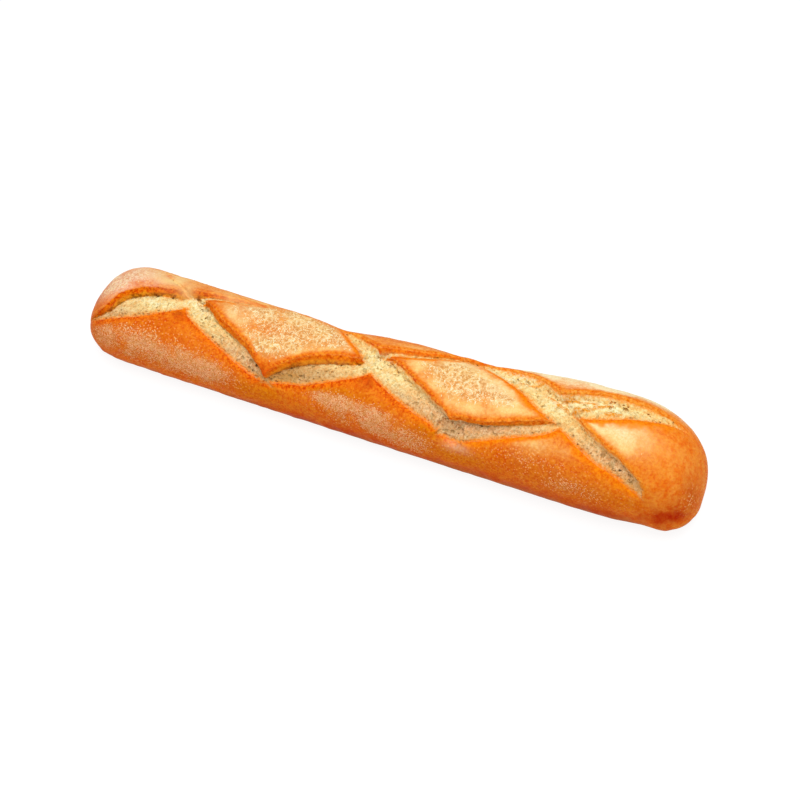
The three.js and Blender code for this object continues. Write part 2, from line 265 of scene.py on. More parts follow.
def cap_share(distance, reach, power):
    inward = np.clip((reach - distance) / reach, 0, 1)
    return (1 - inward**power) ** (1 / power)


def section_share(x):
    left = cap_share(HALF + x, LEFT_CAP, LEFT_POWER)
    return np.minimum(left, cap_share(HALF - x, RIGHT_CAP, RIGHT_POWER))


def unit_section(turn):
    """Across and up on a section of half width 1 and height 1, at a turn from the crown."""
    angle = np.abs(turn)
    crown = np.radians(np.minimum(angle, 90))
    side = np.radians(np.clip((angle - 90) / SHOULDER_TURN, 0, 1) * 90)
    crown_across = np.sin(crown) ** CROWN_POWER
    crown_up = WIDEST_LEVEL + (1 - WIDEST_LEVEL) * np.maximum(np.cos(crown), 0) ** CROWN_POWER
    side_across = BASE_SHARE + (1 - BASE_SHARE) * np.cos(side)
    base_across = BASE_SHARE * (180 - angle) / (90 - SHOULDER_TURN)
    lower_across = np.where(angle <= 90 + SHOULDER_TURN, side_across, base_across)
    across = np.where(angle <= 90, crown_across, lower_across)
    up = np.where(angle <= 90, crown_up, WIDEST_LEVEL * (1 - np.sin(side)))
    return np.sign(turn) * across, up


def smooth_place(x, turn):
    along = x / HALF
    beyond_middle = along * along - 1 / 3
    share = section_share(x)
    half_width = WIDTH / 2 * share * (1 + WIDTH_TAPER * along + WIDTH_WAIST * beyond_middle)
    full_height = HEIGHT * (1 + HEIGHT_TAPER * along + HEIGHT_WAIST * beyond_middle)
    height = full_height * share**CROWN_FALL
    across, up = unit_section(turn)
    y = SIDE_BOW * (along * along - 0.5) + half_width * across
    z = height * up + (full_height - height) * TIP_HEIGHT
    return np.stack(np.broadcast_arrays(x, y, z), axis=-1)


def skin_normal(x, turn):
    low = np.maximum(x - NORMAL_REACH, -HALF)
    high = np.minimum(x + NORMAL_REACH, HALF)
    lengthways = smooth_place(high, turn) - smooth_place(low, turn)
    crossways = smooth_place(x, turn + NORMAL_REACH) - smooth_place(x, turn - NORMAL_REACH)
    normal = np.cross(lengthways, crossways)
    return normal / np.maximum(np.linalg.norm(normal, axis=-1, keepdims=True), 1e-9)


def skin_per_degree(x):
    return SKIN_PER_DEGREE * np.maximum(section_share(x), LEAST_SHARE)


def crown_fade(turn, fade):
    return np.clip((fade[1] - np.abs(turn)) / (fade[1] - fade[0]), 0, 1)


def swelling(x, turn):
    rise = sum(
        height * np.exp(-(((x - at_x) / reach_x) ** 2) - ((turn - at_turn) / reach_turn) ** 2)
        for at_x, at_turn, reach_x, reach_turn, height in SWELLS
    )
    return rise * crown_fade(turn, SWELL_FADE) * section_share(x)


# -------- seeded noise
def noise(places, cell, seed):
    """Smooth noise from -1 to 1 with one bump for each cell, for places in 2 or 3 dimensions."""
    draw = np.random.default_rng(seed)
    size = places.shape[-1]
    turned = places @ np.linalg.qr(draw.normal(size=(size, size)))[0] / cell
    turned -= np.floor(turned.reshape(-1, size).min(axis=0))
    whole = turned.astype(int)
    part = smoothstep(0, 1, turned - whole)
    lattice = draw.uniform(-1, 1, whole.reshape(-1, size).max(axis=0) + 2)
    total = np.zeros(places.shape[:-1])
    for corner in itertools.product((0, 1), repeat=size):
        weight = np.prod(np.where(corner, part, 1 - part), axis=-1)
        total += weight * lattice[tuple(np.moveaxis(whole + corner, -1, 0))]
    return total


def layered_noise(places, cell, seed, layers=3):
    """Noise with finer and weaker layers, each half as large as the one before."""
    return sum(noise(places, cell / 2**i, seed + i) / 2**i for i in range(layers))


def unevenness(places, kinds):
    return sum(amount * layered_noise(places, cell, seed, layers) for amount, cell, seed, layers in kinds)


# -------- the cuts
def cut_trace(places):
    """Evenly spaced places along a centripetal Catmull-Rom curve."""
    points = np.array(places, float)
    points = np.vstack([2 * points[0] - points[1], points, 2 * points[-1] - points[-2]])
    share = np.linspace(0, 1, SPLINE_STEPS, endpoint=False)[:, None]
    pieces = []
    for before, start, end, after in zip(points, points[1:], points[2:], points[3:]):
        gap_before, gap, gap_after = (
            np.linalg.norm(b - a) ** 0.5 for a, b in ((before, start), (start, end), (end, after))
        )
        leave = (start - before) / gap_before - (end - before) / (gap_before + gap) + (end - start) / gap
        arrive = (end - start) / gap - (after - start) / (gap + gap_after) + (after - end) / gap_after
        leave, arrive = leave * gap, arrive * gap
        pieces.append(start + leave * share + (3 * (end - start) - 2 * leave - arrive) * share**2
                      + (2 * (start - end) + leave + arrive) * share**3)
    line = np.vstack([*pieces, points[-2:-1]])
    reach = np.append(0, np.cumsum(np.linalg.norm(np.diff(line, axis=0), axis=1)))
    even = np.linspace(0, reach[-1], TRACE_STEPS + 1)
    return np.stack([np.interp(even, reach, column) for column in line.T], axis=-1)


def beside_cut(trace, x, across):
    """Distance out from the edge (negative inside), half width, and -1 to 1 across it, at each place."""
    skin = np.stack([trace[:, 0], trace[:, 1] * skin_per_degree(trace[:, 0])], axis=-1)
    rows = (x[:, 0] > skin[:, 0].min() - BESIDE_REACH) & (x[:, 0] < skin[:, 0].max() + BESIDE_REACH)
    shape = across.shape
    near_x = np.broadcast_to(x, shape)[rows]
    near_across = across[rows]
    nearest = np.full(near_x.shape, np.inf)
    half = np.ones(near_x.shape)
    sideways = np.zeros(near_x.shape)
    for start, end, low_half, high_half in zip(skin, skin[1:], trace[:, 2], trace[1:, 2]):
        step = end - start
        offset_x, offset_across = near_x - start[0], near_across - start[1]
        share = np.clip((offset_x * step[0] + offset_across * step[1]) / (step @ step), 0, 1)
        gap = np.hypot(offset_x - share * step[0], offset_across - share * step[1])
        closer = gap < nearest
        nearest = np.where(closer, gap, nearest)
        half = np.where(closer, low_half + (high_half - low_half) * share, half)
        side = (step[0] * offset_across - step[1] * offset_x) / np.hypot(*step)
        sideways = np.where(closer, side, sideways)
    out = np.full(shape, float(BESIDE_REACH))
    out[rows] = nearest - half
    halves = np.full(shape, 0.5)
    halves[rows] = half
    crossing = np.zeros(shape)
    crossing[rows] = np.clip(sideways / half, -1, 1)
    return out, halves, crossing


# -------- the grid over the skin
def stations():
    """x of each row of the grid, evenly spaced over the crown from tip to tip."""
    x = HALF * np.sin(np.linspace(-1, 1, GIRTH_STEPS + 1) * math.pi / 2)
    crown = smooth_place(x, np.zeros(x.size))
    girth = np.append(0, np.cumsum(np.linalg.norm(np.diff(crown, axis=0), axis=1)))
    even = np.linspace(0, girth[-1], round(girth[-1] / CELL))[1:-1]
    return np.interp(even, girth, x)


def turns():
    """Turn of each column of the grid, once round and rising, finest over the crown."""
    fine = np.arange(-FINE_TURN, FINE_TURN, CELL / SQUARE_PER_DEGREE)
    under = np.linspace(FINE_TURN, 360 - FINE_TURN, UNDER_STEPS, endpoint=False)
    return np.concatenate([fine, under])


def wrapped(turn):
    return (turn + 180) % 360 - 180


def at_corners(grid_map, row, column):
    """A map of the grid at places between its rows and columns, which close round the loaf."""
    low_row = np.clip(row.astype(int), 0, grid_map.shape[0] - 2)
    low_column = column.astype(int)
    row_share, column_share = row - low_row, column - low_column
    columns = low_column % grid_map.shape[1], (low_column + 1) % grid_map.shape[1]
    low, high = (
        grid_map[low_row, at] * (1 - row_share) + grid_map[low_row + 1, at] * row_share for at in columns
    )
    return low * (1 - column_share) + high * column_share


class Skin:
    """Maps over the grid: where it is, the level of the crust, the floor of the cuts, edges and colours."""

    def __init__(self):
        self.rows = stations()
        self.columns = turns()
        x = self.rows[:, None]
        turn = wrapped(self.columns)[None, :]
        self.x = np.broadcast_to(x, (x.size, turn.size))
        self.turn = np.broadcast_to(turn, self.x.shape)
        self.across = turn * skin_per_degree(x)
        self.flat = np.stack([self.x, self.across], axis=-1)
        self.share = np.broadcast_to(section_share(x), self.x.shape)
        self.cloudy = 1 + unevenness(self.flat, CLOUD_UNEVEN)
        self.winding = noise(self.flat, *WINDING)
        self.lay_out_cuts()
        self.masks = self.colour_masks()

    def lay_out_cuts(self):
        """The crust round all the cuts together, and their common floor, edge and lips."""
        besides = [beside_cut(cut_trace(places), self.x, self.across) for places in CUTS.values()]
        outs, halves, crossings = (np.array(maps) for maps in zip(*besides))
        self.gap = outs.min(axis=0)
        fade = crown_fade(self.turn, RELIEF_FADE) * self.share

        # The crust: each cut lifts its far side and lowers its near one, and the dough swells between cuts.
        outsides = np.maximum(outs, 0)
        ears = EAR * np.exp(-outsides / EAR_REACH)
        falls = -FALL * np.exp(-outsides / FALL_REACH)
        full = np.minimum(halves / FULL_EAR_HALF_WIDTH, 1)
        shares = (crossings + 1) / 2
        lifts = (falls + (ears - falls) * shares) * full
        lift = sum(lifts)
        pillow = PILLOW * (1 - np.exp(-np.maximum(self.gap, 0) / PILLOW_REACH))
        low_edge = np.exp(-(((np.abs(self.turn) - LOW_EDGE_TURN) / LOW_EDGE_REACH) ** 2))
        uneven = unevenness(self.flat, CRUST_UNEVEN) + unevenness(self.flat, LOW_EDGE_UNEVEN) * low_edge
        self.crust = (lift + pillow + uneven) * fade

        # The edges and lips, blended where cuts meet.
        sizes = np.clip(halves / FULL_DEPTH_HALF_WIDTH, LEAST_DEPTH_SHARE, 1)
        edges = outs + unevenness(self.flat, EDGE_WANDER) * sizes
        self.edge = edges.min(axis=0)
        nearest = np.argmin(edges, axis=0)[None]
        self.ear = smoothstep(0.1, 0.9, np.take_along_axis(crossings, nearest, axis=0)[0])
        self.width_share = smoothstep(0.6, 2.6, np.take_along_axis(halves, nearest, axis=0)[0])
        weights = np.exp((self.edge - edges) / LIP_BLEND)
        self.toast, self.lip, self.slope, self.near_lip = (
            np.tensordot(values, weights, 1) / weights.sum(axis=0) for values in zip(*LIPS.values())
        )
        steep = self.cloud(STEEP)
        self.slope *= 1 - steep
        self.lip *= 1 - STEEP_LIP_LOSS * steep

        # The floor: flush with the near lip, deepest under the far one.
        torn = layered_noise(self.flat, *FLOOR_LUMPS) + FOLDS_SHARE * np.abs(noise(self.flat, *FLOOR_FOLDS))
        near = (lift - lifts - FALL * full) * fade - FLUSH_STEP * sizes
        floors = near + (-CUT_DEPTH * sizes - near) * shares**FLOOR_POWER
        floors += sizes * (FLOOR_BULGE * np.sin(math.pi * shares) + FLOOR_TORN * torn)
        floors += FLOOR_CLIMB * outsides
        floor = floors[0]
        for other in floors[1:]:
            floor = soft_min(floor, other, FLOOR_BLEND)
        self.ridge = self.ridges()
        fillet = FLOOR_FILLET * (1 - self.toast) * self.ear * smoothstep(-5.5, -0.5, self.edge)
        self.floor = np.minimum(floor + self.ridge + fillet, self.crust - LEAST_CUT)

    def ridges(self):
        """How far the torn ridges stand up from the floor of the cuts."""
        height = np.zeros(self.x.shape)
        for start_x, start_turn, end_x, end_turn, half, rise in RIDGES:
            start, end = (
                np.array([x, turn * skin_per_degree(x)])
                for x, turn in ((start_x, start_turn), (end_x, end_turn))
            )
            step = end - start
            share = np.clip((self.flat - start) @ step / (step @ step), 0, 1)
            away = np.linalg.norm(self.flat - start - share[..., None] * step, axis=-1)
            away = away * (1 + unevenness(self.flat, RIDGE_UNEVEN))
            height = np.maximum(height, rise * np.exp(-((away / half) ** 2)))
        return height

    def cloud(self, places):
        """From 0 to 1, in soft uneven clouds round a few places."""
        clear = 1.0
        for at_x, at_turn, reach_x, reach_turn, amount in places:
            away = ((self.x - at_x) / reach_x) ** 2 + ((self.turn - at_turn) / reach_turn) ** 2
            clear = clear * (1 - np.clip(amount * np.exp(-away), 0, 0.98))
        return np.clip((1 - clear) * self.cloudy, 0, 1)

    def colour_masks(self):
        """Shares of the colours, most of them kept clear of the torn lips or of the narrow tips."""
        uneven = 1 + unevenness(self.flat, RIM_UNEVEN)
        outside = np.maximum(self.edge, 0)
        near_band = outside / (self.near_lip * uneven)
        far_band = outside / (self.lip * uneven)
        specked = smoothstep(3, 6, self.gap) * smoothstep(0.25, 0.6, self.share)
        return {
            "flour": smoothstep(0.06, 0.8, self.cloud(FLOUR) * smoothstep(2.0, 5.5, self.gap)),
            "between": smoothstep(0.12, 0.4, np.abs(self.winding)),
            "dust": self.cloud(DUST) * smoothstep(0.4, 0.8, self.share),
            "speckle": self.cloud(SPECKLE) * specked,
            # partly lighter bake, partly painted highlight
            "golden_and_highlight": self.cloud(GOLDEN_AND_HIGHLIGHT) * smoothstep(1.0, 4.0, self.gap),
            # partly lighter bake, partly painted highlight
            "pale_and_highlight": self.cloud(PALE_AND_HIGHLIGHT) * smoothstep(1.2, 3.6, self.gap),
            "soft": self.cloud(SOFT),
            # partly the crumb's own colour, partly painted light
            "cream_and_light": self.cloud(CREAM_AND_LIGHT),
            # painted shade in the crumb
            "shade": self.cloud(PAINTED_SHADE),
            "amber": self.cloud(AMBER),
            "deep": self.cloud(DEEP),
            "tip": self.cloud(TIPS),
            "near_rim": self.width_share * (1 - self.ear) * smoothstep(1.35, 0.35, near_band),
            "ear_rim": self.width_share * self.ear * np.exp(-(far_band**2)),
            "margin": self.width_share * (1 - 0.7 * self.ear) * smoothstep(12, 4, outside),
            "toast": self.toast,
        }


# -------- the field and its surface
def loaf_field(skin, levels):
    """Negative in the bread: crust outside the cuts, and crumb up to the torn floor of each."""
    depth = skin.crust[..., None] - levels
    edge = skin.edge[..., None] + (skin.slope * skin.ear)[..., None] * smoothstep(*WALL_SPAN, depth)
    crumb = levels - skin.floor[..., None]
    ragged = (np.abs(edge) < TORN_BAND) & (depth > -TORN_MARGIN) & (crumb > -TORN_MARGIN)
    torn = (np.abs(crumb) < TORN_BAND) & (edge < 1.5)
    for band, field, (cell, amount, seed) in ((ragged, edge, RAGGED_EDGE), (torn, crumb, TORN_CRUMB)):
        row, column, level = np.nonzero(band)
        places = np.stack([skin.x[row, column], skin.across[row, column], levels[level]], axis=-1)
        field[band] += amount * layered_noise(places, cell, seed, 2)
    crust = soft_max(-depth, -edge, LIP_ROUNDING)
    return soft_min(crust, crumb, CRUMB_ROUNDING).astype(np.float32)


def open_pores(field, skin, levels):
    """Sinks round pores of many sizes into the crumb that the cuts show."""
    draw = np.random.default_rng(PORE_SEED)
    inside = np.argwhere((skin.edge < -0.4) & (np.abs(skin.turn) < 90))
    sizes = np.concatenate([draw.uniform(*radii_and_count) for radii_and_count in PORES])
    places = inside[draw.integers(0, len(inside), sizes.size)]
    wide = [(np.argmin(np.abs(skin.rows - x)), np.argmin(np.abs(skin.columns - turn)))
            for x, turn, radius in WIDE_PORES]
    sizes = np.append(sizes, [radius for x, turn, radius in WIDE_PORES])
    for radius, (row, column) in zip(sizes, np.concatenate([places, wide])):
        reach = radius * draw.uniform(*PORE_STRETCH, 3) * PORE_FLATNESS
        centre = skin.floor[row, column] - radius * draw.uniform(*PORE_SINK)
        span = int(reach.max() / CELL) + 2
        rows = slice(max(row - span, 0), row + span + 1)
        columns = slice(max(column - span, 0), column + span + 1)
        along = (skin.rows[rows] - skin.rows[row]) / reach[0]
        round_it = (skin.across[row, columns] - skin.across[row, column]) / reach[1]
        off = (levels - centre) / reach[2]
        away = np.sqrt(along[:, None, None] ** 2 + round_it[None, :, None] ** 2 + off[None, None, :] ** 2)
        field[rows, columns] = np.maximum(field[rows, columns], (1 - away) * radius)


AXES = np.eye(3, dtype=int)


def surface_of(field):
    """Surface nets: a point in each cell that the zero of a field passes, and quads between them.

    Also gives the points that end the surface at each tip, in order round it.
    """
    field = np.concatenate([field, field[:, :1]], axis=1)
    solid = field < 0
    counts = sum(
        solid[i:i - 1 or None, j:j - 1 or None, k:k - 1 or None].astype(np.uint8)
        for i, j, k in itertools.product((0, 1), repeat=3)
    )
    cells = np.argwhere((counts > 0) & (counts < 8))
    names = np.full(counts.shape, -1, dtype=np.int32)
    names[tuple(cells.T)] = np.arange(len(cells))
    # Each point is the middle of the places where the surface crosses the sides of its cell.
    total = np.zeros(cells.shape)
    crossings = np.zeros(len(cells))
    for axis in range(3):
        others = [AXES[other] for other in range(3) if other != axis]
        for first, second in itertools.product((0, 1), repeat=2):
            start = cells + first * others[0] + second * others[1]
            low = field[tuple(start.T)]
            high = field[tuple((start + AXES[axis]).T)]
            passed = (low < 0) != (high < 0)
            share = np.where(passed, low / np.where(passed, low - high, 1), 0)
            total += np.where(passed[:, None], start + share[:, None] * AXES[axis], 0)
            crossings += passed
    points = total / crossings[:, None]
    # Each step of the grid from bread to air has a quad round it, between the four cells that share it.
    quads = []
    for axis in range(3):
        second, third = AXES[(axis + 1) % 3], AXES[(axis + 2) % 3]
        nodes = np.argwhere(np.diff(solid, axis=axis))
        keep = (nodes[:, 1] < field.shape[1] - 1) & (nodes[:, 2] > 0) & (nodes[:, 2] < field.shape[2] - 1)
        if axis != 0:
            keep &= (nodes[:, 0] > 0) & (nodes[:, 0] < field.shape[0] - 1)
        nodes = nodes[keep]
        outward = solid[tuple(nodes.T)]
        ring = [nodes - second - third, nodes - third, nodes, nodes - second]
        ring = [np.stack([c[:, 0], c[:, 1] % counts.shape[1], c[:, 2]], axis=0) for c in ring]
        quad = np.stack([names[tuple(c)] for c in ring], axis=-1)
        quads.append(np.where(outward[:, None], quad, quad[:, ::-1]))
    ends = np.stack([names[0].max(axis=1), names[-1].max(axis=1)])
    return points, np.concatenate(quads), ends


def largest_body(count, quads):
    """Which points belong to the largest joined surface."""
    label = np.arange(count)
    sides = np.concatenate([quads[:, [0, 1]], quads[:, [1, 2]], quads[:, [2, 3]]])
    while True:
        before = label.copy()
        lowest = np.minimum(label[sides[:, 0]], label[sides[:, 1]])
        np.minimum.at(label, sides[:, 0], lowest)
        np.minimum.at(label, sides[:, 1], lowest)
        label = label[label]
        if (label == before).all():
            return label == np.bincount(label).argmax()


class Loaf:
    """The fine surface: its points in mm, its faces, and where each point lies on the grid."""

    def __init__(self):
        self.skin = Skin()
        levels = np.arange(LOWEST, HIGHEST, LEVEL_STEP)
        field = loaf_field(self.skin, levels)
        open_pores(field, self.skin, levels)
        points, quads, ends = surface_of(field)
        kept = largest_body(len(points), quads)
        kept[ends] = True
        names = np.cumsum(kept) - 1
        self.quads = names[quads[kept[quads[:, 0]]]]
        ends = names[ends]
        self.row, self.column, level = points[kept].T
        self.rise = LOWEST + level * LEVEL_STEP
        self.x, self.turn = self.places(self.row, self.column)
        self.points = self.off_skin(self.x, self.turn, self.rise)
        tips = smooth_place(np.array([-HALF, HALF]), np.zeros(2))
        first_tip = len(self.points)
        self.points = np.vstack([self.points, tips])
        here, onward = ends, np.roll(ends, -1, axis=1)
        left = np.stack([np.full(here.shape[1], first_tip), here[0], onward[0]], axis=-1)
        right = np.stack([here[1], np.full(here.shape[1], first_tip + 1), onward[1]], axis=-1)
        self.fans = np.concatenate([left, right])
        middle = (self.points.min(axis=0) + self.points.max(axis=0)) / 2
        self.offset = np.array([0, middle[1], self.points[:, 2].min()])
        self.points -= self.offset

    def places(self, row, column):
        """x and turn at places on the grid."""
        skin = self.skin
        x = np.interp(row, np.arange(skin.rows.size), skin.rows)
        once_round = np.append(skin.columns, skin.columns[0] + 360)
        return x, wrapped(np.interp(column, np.arange(once_round.size), once_round))

    def off_skin(self, x, turn, rise):
        return smooth_place(x, turn) + skin_normal(x, turn) * (swelling(x, turn) + rise)[:, None]

    def sample(self, grid_map):
        """A map of the grid at each point of the surface, with the two tips last."""
        values = at_corners(grid_map, self.row, self.column)
        return np.concatenate([values, grid_map[[0, -1], 0]])


def mesh_piece(name, points, faces_by_size):
    """An object of its own from points in mm and arrays of faces, one array for each number of corners."""
    mesh = bpy.data.meshes.new(name)
    mesh.vertices.add(len(points))
    mesh.vertices.foreach_set("co", (points * MM).astype(np.float32).ravel())
    corners = np.concatenate([faces.ravel() for faces in faces_by_size])
    sizes = np.concatenate([np.full(len(faces), faces.shape[1]) for faces in faces_by_size])
    mesh.loops.add(len(corners))
    mesh.loops.foreach_set("vertex_index", corners.astype(np.int32))
    mesh.polygons.add(len(sizes))
    mesh.polygons.foreach_set("loop_start", (np.cumsum(sizes) - sizes).astype(np.int32))
    mesh.polygons.foreach_set("use_smooth", np.ones(len(sizes), dtype=bool))
    mesh.update(calc_edges=True)
    mesh.validate()
    piece = bpy.data.objects.new(name, mesh)
    bpy.context.collection.objects.link(piece)
    return piece


def add_mask(piece, name, shares):
    mask = piece.data.attributes.new(name, "FLOAT", "POINT")
    mask.data.foreach_set("value", shares.astype(np.float32))


# -------- flour
def flake_places(skin, draw):
    """Rows and columns of the grid for the flakes: mostly on the winding lines, less so on the crown."""
    on_top = smoothstep(60, 40, np.abs(skin.turn))
    on_line = smoothstep(0.3, 0.05, np.abs(skin.winding))
    weight = skin.masks["flour"] ** 1.3 * skin.share * (on_line + 0.6 - 0.45 * on_top) * (1 - 0.25 * on_top)
    weight *= (np.abs(skin.turn) < FINE_TURN - 5) & (skin.share > LEAST_FLOUR_SHARE)
    places = draw.choice(weight.size, FLAKES, p=(weight / weight.sum()).ravel())
    row, column = np.unravel_index(places, weight.shape)
    return row, column, on_top[row, column]


def flake_rims(heading, on_top, draw):
    """Offsets along and across the skin to the uneven rim of each flake, larger on the crown."""
    length = draw.uniform(*FLAKE_LENGTH, FLAKES) * (0.9 + 1.2 * on_top)
    width = draw.uniform(*FLAKE_WIDTH, FLAKES) * (1 + 0.25 * on_top)
    corners = (FLAKES, FLAKE_SIDES)
    angle = np.arange(FLAKE_SIDES) * 2 * math.pi / FLAKE_SIDES + draw.uniform(-0.25, 0.25, corners)
    size = draw.uniform(0.75, 1.15, corners) / 2
    ahead = np.cos(angle) * size * length[:, None]
    aside = np.sin(angle) * size * width[:, None]
    ahead_x, ahead_across = np.cos(heading)[:, None], np.sin(heading)[:, None]
    return ahead * ahead_x - aside * ahead_across, ahead * ahead_across + aside * ahead_x


def flour_flakes(loaf):
    """Points, their turns and the faces of flakes of flour that lie on the crust along winding lines."""
    skin = loaf.skin
    draw = np.random.default_rng(FLAKE_SEED)
    row, column, on_top = flake_places(skin, draw)
    along_row, along_column = np.gradient(skin.winding)
    heading = np.arctan2(along_row[row, column], -along_column[row, column])
    heading += draw.normal(0, FLAKE_TURN_SPREAD, FLAKES)
    rims = flake_rims(heading, on_top, draw)
    jitter = draw.uniform(-CELL / 2, CELL / 2, (2, FLAKES, 1))
    x, across = (
        np.concatenate([np.zeros((FLAKES, 1)), offset], axis=1) + at[row, column][:, None] + shift
        for offset, at, shift in zip(rims, (skin.x, skin.across), jitter)
    )
    x = np.clip(x, skin.rows[0], skin.rows[-1])
    turn = across / skin_per_degree(x)
    grid_row = np.interp(x, skin.rows, np.arange(skin.rows.size))
    grid_column = np.interp(turn, skin.columns, np.arange(skin.columns.size))
    rise = at_corners(skin.crust, grid_row, grid_column) - FLAKE_SINK
    rise[:, 0] += draw.uniform(*FLAKE_RISE, FLAKES)
    points = loaf.off_skin(x.ravel(), turn.ravel(), rise.ravel()) - loaf.offset
    middles = (FLAKE_SIDES + 1) * np.arange(FLAKES)[:, None]
    rim = np.arange(1, FLAKE_SIDES + 1)
    tops = middles[..., None] + np.stack([np.zeros_like(rim), rim, np.roll(rim, -1)], axis=-1)
    return points, turn.ravel(), tops.reshape(-1, 3), middles + rim[::-1]


# -------- masks for the material
def loaf_masks(loaf):
    """What each point of the surface is, as shares from 0 to 1, worked out from distances in mm."""
    skin = loaf.skin
    masks = {name: loaf.sample(shares) for name, shares in skin.masks.items()}
    edge, ear, slope = (loaf.sample(grid_map) for grid_map in (skin.edge, skin.ear, skin.slope))
    rise = np.append(loaf.rise, [0, 0])
    depth = loaf.sample(skin.crust) - rise
    above = rise - loaf.sample(skin.floor)
    inside = smoothstep(0.35, -0.45, edge)
    opened = np.maximum(inside, smoothstep(0.5, 1.3, depth))
    from_wall = edge + slope * ear * smoothstep(*WALL_SPAN, depth)
    wall_foot = 0.6 + 6.5 * masks["toast"]
    wall = opened * ear * smoothstep(0.4, 1.2, above + 1.2 * smoothstep(-1.3, -0.3, from_wall))
    masks["wall"] = wall * smoothstep(wall_foot + 1.2, wall_foot - 0.3, depth)
    masks["top"] = smoothstep(4.6, 2.8, depth + 0.4 * (slope - 2.2))
    # Painted shade in the crease at the foot of each far wall.
    masks["crease_shade"] = opened * ear * smoothstep(-3.2, -0.9, from_wall) * smoothstep(1.6, 0.4, above)
    masks["crumb"] = opened * (1 - masks["wall"])
    masks["fringe"] = inside * smoothstep(2.5 * ear - 5.5, 0.2, edge)
    masks["lip"] = inside * smoothstep(1.2 * ear - 2.6, 0.0, edge)
    # Painted shade in the hollows of the crumb below its floor, in the pores.
    masks["pit_shade"] = smoothstep(0.0, -1.1, above)
    masks["ridge"] = smoothstep(0.35, 1.2, loaf.sample(skin.ridge))

    turn = np.append(loaf.turn, [0, 0])
    along = np.append(loaf.x, [-HALF, HALF])
    # Painted shade: the crumb turns darker and greyer towards the lower near side, which faces away from the
    # light.
    masks["low"] = smoothstep(-5, -48, turn)
    masks["mild"] = np.maximum(smoothstep(20, 80, along), smoothstep(-25, 0, turn))
    masks["right"] = np.maximum(smoothstep(70, 110, along), smoothstep(12, 30, turn))
    # The right end: vivid orange, partly its baked colour and partly painted light where the end turns from
    # the lamp.
    masks["end"] = smoothstep(165, 200, along)
    # The sides: darker, redder crust, partly its baked colour and partly painted shade where the sides turn
    # from the light.
    masks["side"] = smoothstep(50, 110, np.abs(turn))
    # The base and the low edge above it: darker brown, partly its baked colour and partly painted shade.
    masks["base"] = smoothstep(98, 132, np.abs(turn))
    return masks


# -------- colours
def shade(red, green, blue):
    """A colour as seen on a screen, 0 to 255, as the linear colour of a shader."""
    seen = np.array([red, green, blue]) / 255
    return (*np.where(seen <= 0.04045, seen / 12.92, ((seen + 0.055) / 1.055) ** 2.4), 1.0)


CRUST, CRUST_LIGHT, CRUST_RUDDY = shade(240, 126, 24), shade(251, 156, 56), shade(230, 88, 8)
# The first colour on the next line, for the sides, is partly baked colour and partly painted shade.
CRUST_SIDE_AND_SHADE, CRUST_MARGIN, CRUST_GRAIN = shade(208, 92, 0), shade(244, 126, 6), shade(252, 166, 34)
# The first colour on the next line is partly a lighter bake and partly painted highlight.
# The second colour on the next line is partly a lighter bake and partly painted highlight.
CRUST_GOLDEN_AND_HIGHLIGHT, CRUST_PALE_AND_HIGHLIGHT, CRUST_SOFT = shade(252, 216, 140), shade(254, 242, 196), shade(250, 208, 138)
# The last colour on the next line, for the base, is partly baked colour and partly painted shade.
CRUST_AMBER, CRUST_DEEP, CRUST_BASE_AND_SHADE = shade(224, 126, 4), shade(182, 34, 0), shade(138, 78, 36)
CRUST_DARKER = shade(228, 150, 70)
# The first colour on the next line is partly baked orange and partly painted light for the right end.
END_AND_LIGHT, END_RUDDY = shade(255, 157, 58), shade(250, 118, 14)
BURNT, BURNT_DARK = shade(228, 84, 10), shade(176, 56, 8)
RIM, RIM_RUDDY, RIM_MILD = shade(250, 122, 16), shade(222, 78, 4), shade(254, 140, 10)
LIP_DARK, LIP_DARK_RIGHT = shade(226, 84, 2), shade(240, 124, 6)
LIP_LIGHT, LIP_LIGHT_RIGHT = shade(252, 154, 44), shade(254, 178, 70)
WALL_RUDDY, WALL_ORANGE = shade(212, 74, 2), shade(248, 132, 14)
# The last colour on the next line is painted shade for the creases at the feet of the walls.
WALL_DARK, WALL_GOLD, WALL_CREASE_SHADE = shade(168, 88, 6), shade(246, 160, 34), shade(160, 106, 28)
# The low colours of the crumb and of its flecks are painted shade for the crumb on the lower near side.
CRUMB, CRUMB_LOW_SHADED = shade(253, 234, 164), shade(234, 194, 142)
CRUMB_FLECK, CRUMB_FLECK_LOW_SHADED, CRUMB_BLOTCH = shade(240, 182, 98), shade(200, 136, 88), shade(236, 164, 84)
# The colours on the next line are partly the crumb's own cream and partly painted light.
CRUMB_CREAM_AND_LIGHT, CRUMB_CREAM_FLECK_AND_LIGHT = shade(255, 252, 212), shade(248, 226, 150)
# The last colour on the next line is painted shade for the crumb.
CRUMB_OLIVE_PORE_SHADE, CRUMB_STREAK, CRUMB_PAINTED_SHADE = shade(152, 116, 68), shade(250, 224, 176), shade(184, 130, 52)
CRUMB_FRINGE, CRUMB_LIP, CRUMB_RIDGE = shade(245, 172, 76), shade(248, 130, 16), shade(236, 146, 26)
# Painted shade for the pores of the crumb.
CRUMB_PIT_SHADE = shade(178, 148, 92)
DUST_HAZE, FLOUR_HAZE, FLOUR_GAP = shade(250, 220, 190), shade(248, 208, 152), shade(210, 140, 72)
SPECKLE_DOT, SPECKLE_GAP = shade(250, 196, 142), shade(200, 84, 12)
# The last colour on the next line is painted shade for flakes on the sides.
FLAKE, FLAKE_DULL, FLAKE_SIDE_SHADE = shade(253, 238, 194), shade(248, 214, 156), shade(244, 186, 134)


